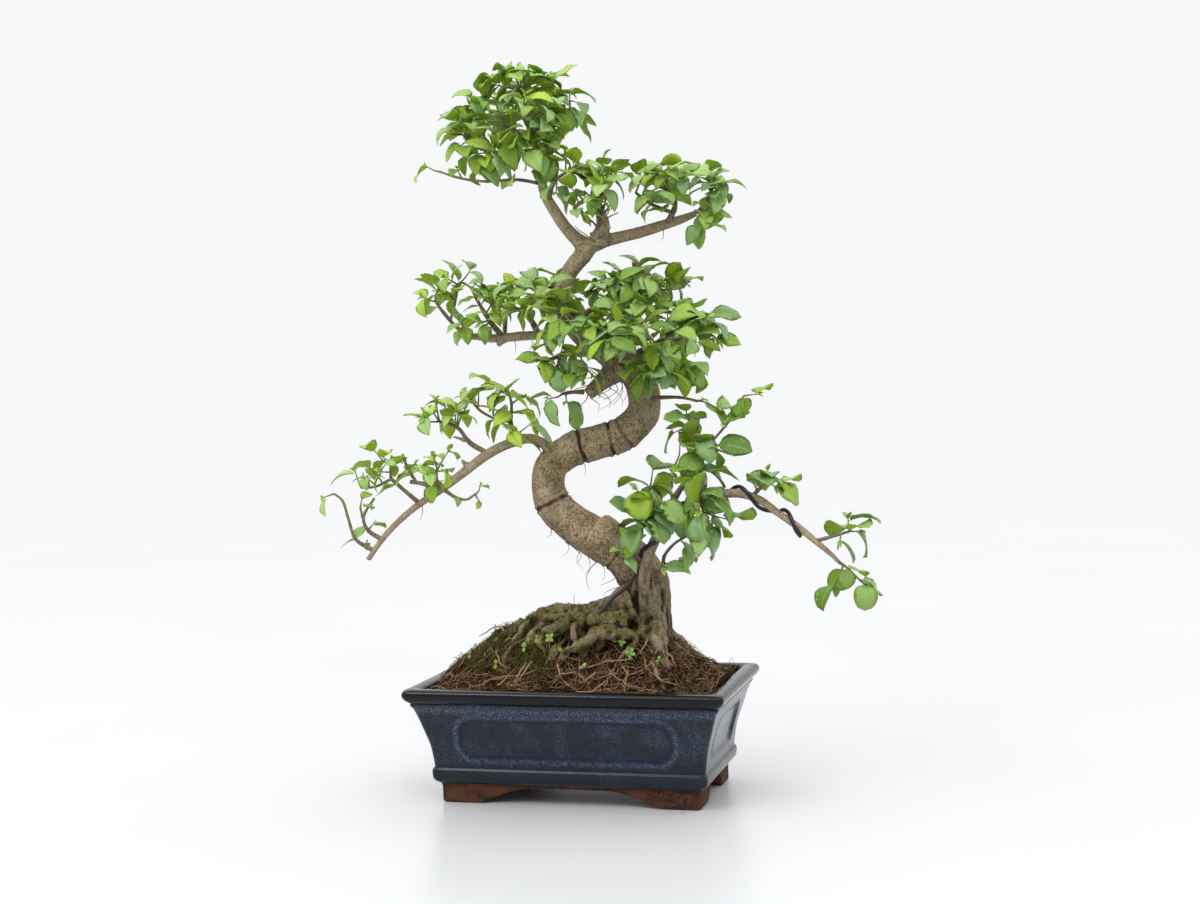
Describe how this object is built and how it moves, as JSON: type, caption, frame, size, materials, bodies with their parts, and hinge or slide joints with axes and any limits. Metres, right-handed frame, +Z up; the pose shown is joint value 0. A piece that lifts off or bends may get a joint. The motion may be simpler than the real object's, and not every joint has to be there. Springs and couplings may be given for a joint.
{
  "type": "mandarin orange bonsai",
  "caption": "Small bonsai tree with an S-shaped trunk, surface roots and layered leaf pads, one branch trained with wire, in a dark glazed rectangular pot on feet.",
  "frame": {"origin": "on the ground, under the middle of the whole plant's bounding box", "axes": "+Z up the tree; +X along the pot's long side, towards the wired branch; the pot's front and the tree's viewing side face -Y"},
  "size_m": [0.4364, 0.1668, 0.5707],
  "materials": {
    "glaze": "gloss",
    "soil": "matte",
    "bark": "matte",
    "foliage": "satin",
    "wire": "satin",
    "screen": "matte"
  },
  "bodies": {
    "root": {"drain_screen_left": "screen", "drain_screen_right": "screen", "pot": "glaze", "soil": "soil", "spray_apex": "foliage", "spray_apex_low": "foliage", "spray_apex_side": "foliage", "spray_base_left": "foliage", "spray_base_right": "foliage", "spray_crown_back": "foliage", "spray_crown_back_left": "foliage", "spray_crown_front": "foliage", "spray_crown_left": "foliage", "spray_crown_low_left": "foliage", "spray_crown_low_right": "foliage", "spray_crown_right": "foliage", "spray_crown_right_front": "foliage", "spray_crown_top": "foliage", "spray_low_left_a": "foliage", "spray_low_left_b": "foliage", "spray_low_left_c": "foliage", "spray_low_left_d": "foliage", "spray_low_left_e": "foliage", "spray_low_left_f": "foliage", "spray_low_left_g": "foliage", "spray_mid_left_inner": "foliage", "spray_mid_left_outer": "foliage", "spray_mid_left_root": "foliage", "spray_right_mid": "foliage", "spray_right_stump": "foliage", "spray_right_tip": "foliage", "spray_side_twig": "foliage", "spray_stub_low": "foliage", "spray_wired_end": "foliage", "spray_wired_inner": "foliage", "spray_wired_mid": "foliage", "spray_wired_outer": "foliage", "spray_wired_tip": "foliage", "spray_wired_up": "foliage", "training_wire": "wire", "trunk_and_roots": "bark"}
  },
  "joints": []
}
